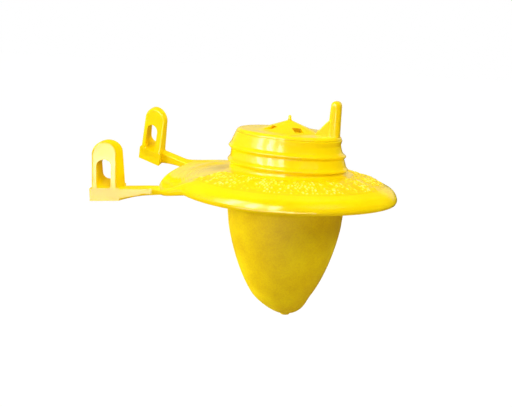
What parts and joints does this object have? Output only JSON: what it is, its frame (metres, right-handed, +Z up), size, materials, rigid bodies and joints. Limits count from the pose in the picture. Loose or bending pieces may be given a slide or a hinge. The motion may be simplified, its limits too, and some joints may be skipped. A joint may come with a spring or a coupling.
{
  "type": "pheromone insect trap",
  "caption": "Hat-shaped insect trap on two slotted strap arms, with a lift-off lure cap, an entry ring and a bullet-shaped catch cup.",
  "frame": {"origin": "midway between the slots of the two lugs, on the line of the strap that holds the trap", "axes": "+Z up along the trap's axis, +X from the lugs towards the trap and the cap's pull tab, +Y from the front arm to the rear arm"},
  "size_m": [0.1121, 0.0848, 0.0841],
  "materials": {
    "hood_plastic": "glossy yellow polypropylene with a fine pebbled band on the brim",
    "cap_plastic": "glossy yellow polypropylene",
    "cage_plastic": "glossy yellow polypropylene",
    "lure_rubber": "matte natural rubber",
    "ring_plastic": "glossy yellow polypropylene",
    "cup_plastic": "finely grained amber-yellow polypropylene"
  },
  "bodies": {
    "hood": {"hood": "hood_plastic"},
    "front_arm": {"front_arm": "hood_plastic"},
    "rear_arm": {"rear_arm": "hood_plastic"},
    "cap": {"top_cap": "cap_plastic", "lure_cage": "cage_plastic", "pheromone_lure": "lure_rubber"},
    "entry": {"entry_ring": "ring_plastic", "no_return_funnel": "ring_plastic"},
    "cup": {"catch_cup": "cup_plastic"}
  },
  "joints": [
    {"name": "front_arm_bend", "type": "hinge", "parent": "hood", "child": "front_arm", "pos_m": [0.01721, -0.01772, -0.00962], "axis": [-0.3355, 0.9297, 0.1522], "range_deg": [-20, 20], "stiffness_Nm_per_rad": 0.05},
    {"name": "rear_arm_bend", "type": "hinge", "parent": "hood", "child": "rear_arm", "pos_m": [0.01721, 0.01807, -0.00376], "axis": [0.3355, 0.9297, 0.1522], "range_deg": [-20, 20], "stiffness_Nm_per_rad": 0.05},
    {"name": "cap_lift", "type": "slide", "parent": "hood", "child": "cap", "axis": [0, 0, 1], "range_m": [0, 0.03]},
    {"name": "ring_pull", "type": "slide", "parent": "hood", "child": "entry", "axis": [0, 0, -1], "range_m": [0, 0.022]},
    {"name": "cup_pull", "type": "slide", "parent": "entry", "child": "cup", "axis": [0, 0, -1], "range_m": [0, 0.022]}
  ]
}
